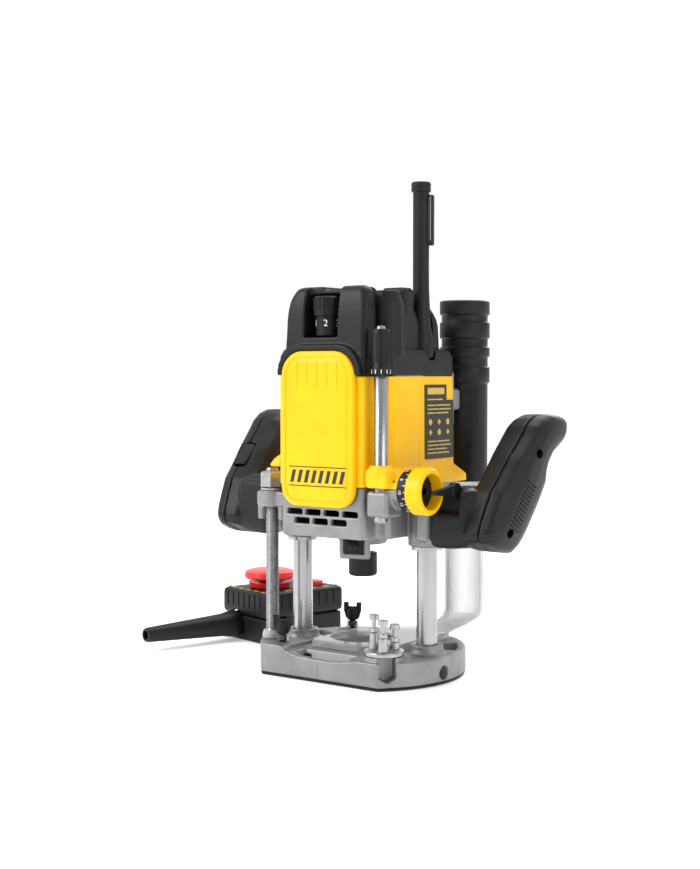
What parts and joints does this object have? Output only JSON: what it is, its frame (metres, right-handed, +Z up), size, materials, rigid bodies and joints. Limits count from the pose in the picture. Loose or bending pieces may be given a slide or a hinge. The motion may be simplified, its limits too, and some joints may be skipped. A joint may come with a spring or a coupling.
{
  "type": "plunge router",
  "caption": "Plunge router with D-shaped base, guide columns, turret depth stop, side handles, dust tower and a separate floor-standing stop-switch box.",
  "frame": {"origin": "bottom centre of the whole object's box, on the floor", "axes": "+Z up along the plunge stroke, +X to the right handle seen from the front, +Y to the back"},
  "size_m": [0.3424, 0.1939, 0.382],
  "materials": {
    "yellow_plastic": "moulded, satin gloss",
    "black_plastic": "moulded, fine texture",
    "cast_alloy": "painted silver-grey casting",
    "steel": "ground and polished",
    "zinc_steel": "bright zinc plate",
    "spring_steel": "dark drawn wire",
    "red_plastic": "moulded, satin gloss",
    "clear_plastic": "clear moulded polycarbonate",
    "white_plastic": "moulded",
    "copper_winding": "varnished windings on a steel core",
    "circuit_board": "potted board",
    "carbon": "pressed carbon"
  },
  "bodies": {
    "root": {"base_sole": "black_plastic", "base_casting": "cast_alloy", "column_left": "steel", "column_right": "steel", "plunge_spring_left": "spring_steel", "plunge_spring_right": "spring_steel", "height_rod": "zinc_steel", "rod_seat": "white_plastic", "clamp_spring_front": "spring_steel", "clamp_spring_rear": "spring_steel", "turret_pivot": "zinc_steel", "dust_chute": "clear_plastic", "box_base": "black_plastic", "box_cover": "black_plastic", "stop_collar": "red_plastic", "switch_module": "black_plastic", "strain_relief": "black_plastic"},
    "clamp_knob_front": {"clamp_knob_front": "black_plastic"},
    "clamp_knob_rear": {"clamp_knob_rear": "black_plastic"},
    "turret": {"turret_disc": "zinc_steel", "stop_screw_low": "zinc_steel", "stop_screw_middle": "zinc_steel", "stop_screw_high": "zinc_steel"},
    "stop_button": {"stop_button": "red_plastic"},
    "start_button": {"start_button": "red_plastic"},
    "carriage": {"carriage_casting": "cast_alloy", "column_bush_left": "steel", "column_bush_right": "steel", "spring_pin_left": "steel", "spring_pin_right": "steel", "motor_housing": "yellow_plastic", "front_cover": "yellow_plastic", "motor_cap": "black_plastic", "stator_core": "steel", "lower_bearing": "steel", "upper_bearing": "steel", "brush_left": "carbon", "brush_right": "carbon", "speed_module": "circuit_board", "handle_left_inner": "black_plastic", "handle_left_outer": "black_plastic", "handle_right_inner": "black_plastic", "handle_right_outer": "black_plastic", "dust_tower": "black_plastic", "tower_bracket": "cast_alloy", "mast": "black_plastic", "lock_bracket": "cast_alloy"},
    "spindle": {"armature": "copper_winding", "cooling_fan": "black_plastic", "collet_nut": "black_plastic"},
    "speed_wheel": {"speed_wheel": "black_plastic"},
    "lock_button": {"lock_button": "black_plastic"},
    "depth_rod": {"depth_rod": "steel"},
    "depth_grip": {"depth_grip": "black_plastic"},
    "depth_dial": {"depth_dial": "yellow_plastic"},
    "scale_ring": {"scale_ring": "black_plastic"},
    "plunge_lock_lever": {"plunge_lock_lever": "black_plastic"},
    "trigger": {"trigger": "black_plastic"},
    "height_washer": {"height_washer": "zinc_steel"},
    "height_nut": {"height_nut": "zinc_steel"}
  },
  "joints": [
    {"name": "plunge", "type": "slide", "parent": "root", "child": "carriage", "axis": [0, 0, 1], "range_m": [-0.055, 0], "stiffness_N_per_m": 900, "springref_m": 0.055, "deforming": ["plunge_spring_left", "plunge_spring_right"]},
    {"name": "spindle_spin", "type": "hinge", "parent": "carriage", "child": "spindle", "pos_m": [0.0297, -0.0362, 0.15], "axis": [0, 0, 1], "continuous": true},
    {"name": "speed_wheel_turn", "type": "hinge", "parent": "carriage", "child": "speed_wheel", "pos_m": [0.0277, -0.079, 0.278], "axis": [0, 0, 1], "range_deg": [-135, 135]},
    {"name": "spindle_lock", "type": "slide", "parent": "carriage", "child": "lock_button", "axis": [-0.342, 0.9397, 0], "range_m": [0, 0.0035], "stiffness_N_per_m": 400, "springref_m": -0.003},
    {"name": "depth_dial_turn", "type": "hinge", "parent": "carriage", "child": "depth_dial", "pos_m": [0.1127, -0.077, 0.148], "axis": [1, 0, 0], "range_deg": [0, 774]},
    {"name": "depth_rod_slide", "type": "slide", "parent": "carriage", "child": "depth_rod", "axis": [0, 0, -1], "range_m": [0, 0.054]},
    {"name": "depth_grip_turn", "type": "hinge", "parent": "depth_rod", "child": "depth_grip", "pos_m": [0.0822, -0.0872, 0.25], "axis": [0, 0, 1], "range_deg": [-180, 180]},
    {"name": "scale_ring_turn", "type": "hinge", "parent": "depth_dial", "child": "scale_ring", "pos_m": [0.1027, -0.077, 0.148], "axis": [1, 0, 0], "continuous": true},
    {"name": "plunge_lock_turn", "type": "hinge", "parent": "carriage", "child": "plunge_lock_lever", "pos_m": [0.1269, -0.0562, 0.148], "axis": [1, 0, 0], "range_deg": [0, 22]},
    {"name": "trigger_press", "type": "hinge", "parent": "carriage", "child": "trigger", "pos_m": [-0.09631, -0.01974, 0.17157], "axis": [1, 0, 0], "range_deg": [0, 7], "stiffness_Nm_per_rad": 0.6, "springref_deg": -2.86},
    {"name": "height_nut_turn", "type": "hinge", "parent": "height_washer", "child": "height_nut", "pos_m": [-0.0333, -0.0717, 0.154], "axis": [0, 0, 1], "range_deg": [0, 961]},
    {"name": "height_washer_lift", "type": "slide", "parent": "root", "child": "height_washer", "axis": [0, 0, 1], "range_m": [0, 0.004]},
    {"name": "turret_turn", "type": "hinge", "parent": "root", "child": "turret", "pos_m": [0.0782, -0.0772, 0.026], "axis": [0, 0, 1], "continuous": true},
    {"name": "clamp_knob_front_turn", "type": "hinge", "parent": "root", "child": "clamp_knob_front", "pos_m": [-0.0163, -0.0802, 0.035], "axis": [0, 0, 1], "range_deg": [-180, 360]},
    {"name": "clamp_knob_rear_turn", "type": "hinge", "parent": "root", "child": "clamp_knob_rear", "pos_m": [-0.0093, 0.0038, 0.035], "axis": [0, 0, 1], "range_deg": [-180, 360]},
    {"name": "stop_button_press", "type": "slide", "parent": "root", "child": "stop_button", "axis": [0, 0, -1], "range_m": [0, 0.0015], "stiffness_N_per_m": 800, "springref_m": -0.003},
    {"name": "start_button_press", "type": "slide", "parent": "root", "child": "start_button", "axis": [0, 0, -1], "range_m": [0, 0.0025], "stiffness_N_per_m": 400, "springref_m": -0.003}
  ],
  "couplings": [
    {"joint": "depth_dial_turn", "follows": "depth_rod_slide", "rad_per_m": 250},
    {"joint": "height_nut_turn", "follows": "height_washer_lift", "rad_per_m": 4188.8}
  ]
}
